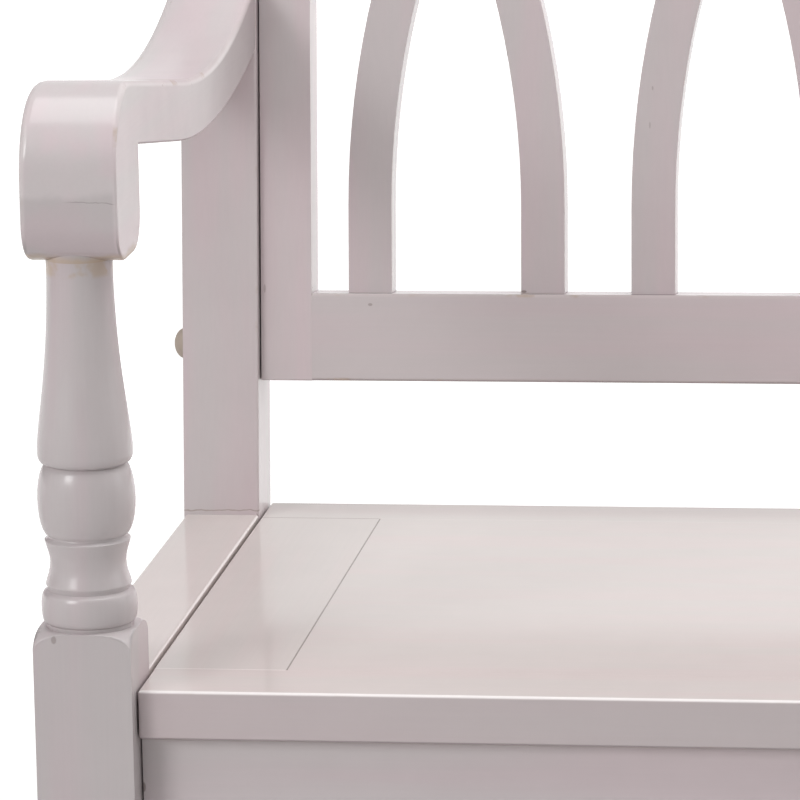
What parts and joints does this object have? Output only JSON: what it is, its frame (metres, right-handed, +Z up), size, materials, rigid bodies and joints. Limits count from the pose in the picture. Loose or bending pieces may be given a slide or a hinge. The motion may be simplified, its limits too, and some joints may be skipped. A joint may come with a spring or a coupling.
{
  "type": "storage bench",
  "caption": "Painted wooden bench with turned front legs, rolled arms, a leaning back of pointed arches and a lift-up seat lid over a storage chest.",
  "frame": {"origin": "bottom centre of the bounding box, on the floor under the middle of the bench", "axes": "+X along the bench to the sitter's left (the viewer's right), +Y from the front legs to the back, +Z up"},
  "size_m": [1.095, 0.4814, 0.914],
  "materials": {
    "frame_paint": "warm light grey satin paint over wood, brushed on, rubbed thin at edges and turned beads",
    "seat_paint": "warm light grey paint over wood with a clear satin-gloss top coat, softly reflecting",
    "cap_wood": "thin warm beige paint over a turned wooden button",
    "bare_wood": "unpainted planed softwood",
    "steel": "zinc-plated steel, dull",
    "nylon": "off-white moulded nylon, matte"
  },
  "bodies": {
    "root": {"front_leg_left": "frame_paint", "front_leg_right": "frame_paint", "rear_post_left": "frame_paint", "rear_post_right": "frame_paint", "arm_left": "frame_paint", "arm_right": "frame_paint", "side_board_left": "seat_paint", "side_board_right": "seat_paint", "side_top_rail_left": "frame_paint", "side_top_rail_right": "frame_paint", "side_bottom_rail_left": "frame_paint", "side_bottom_rail_right": "frame_paint", "side_panel_left": "frame_paint", "side_panel_right": "frame_paint", "front_top_rail": "frame_paint", "front_bottom_rail": "frame_paint", "front_muntin_left": "frame_paint", "front_muntin_right": "frame_paint", "front_panel_left": "frame_paint", "front_panel_middle": "frame_paint", "front_panel_right": "frame_paint", "back_top_rail": "frame_paint", "back_bottom_rail": "frame_paint", "back_panel": "frame_paint", "bottom_board": "frame_paint", "bottom_cleat_front": "bare_wood", "bottom_cleat_back": "bare_wood", "bottom_cleat_left": "bare_wood", "bottom_cleat_right": "bare_wood", "backrest_stile_left": "frame_paint", "backrest_stile_right": "frame_paint", "backrest_lower_rail": "frame_paint", "backrest_top_rail": "frame_paint", "arch_1": "frame_paint", "arch_2": "frame_paint", "arch_3": "frame_paint", "arch_4": "frame_paint", "arch_5": "frame_paint", "arch_6": "frame_paint", "arch_dowels": "bare_wood", "backrest_bolts": "steel", "backrest_inserts": "steel", "arm_bolts": "steel", "bolt_caps": "cap_wood", "foot_glides": "nylon", "hinge_leaf_fixed_left": "steel", "hinge_leaf_fixed_middle": "steel", "hinge_leaf_fixed_right": "steel", "fixed_leaf_screws": "steel", "hinge_pins": "steel"},
    "lid": {"lid_front_rail": "seat_paint", "lid_rear_rail": "seat_paint", "lid_end_board_left": "seat_paint", "lid_end_board_right": "seat_paint", "lid_panel": "seat_paint", "hinge_leaf_lid_left": "steel", "hinge_leaf_lid_middle": "steel", "hinge_leaf_lid_right": "steel", "lid_leaf_screws": "steel", "lid_bumpers": "nylon"}
  },
  "joints": [
    {"name": "lid_hinge", "type": "hinge", "parent": "root", "child": "lid", "pos_m": [0, 0.19395, 0.4328], "axis": [-1, 0, 0], "range_deg": [0, 59]}
  ]
}
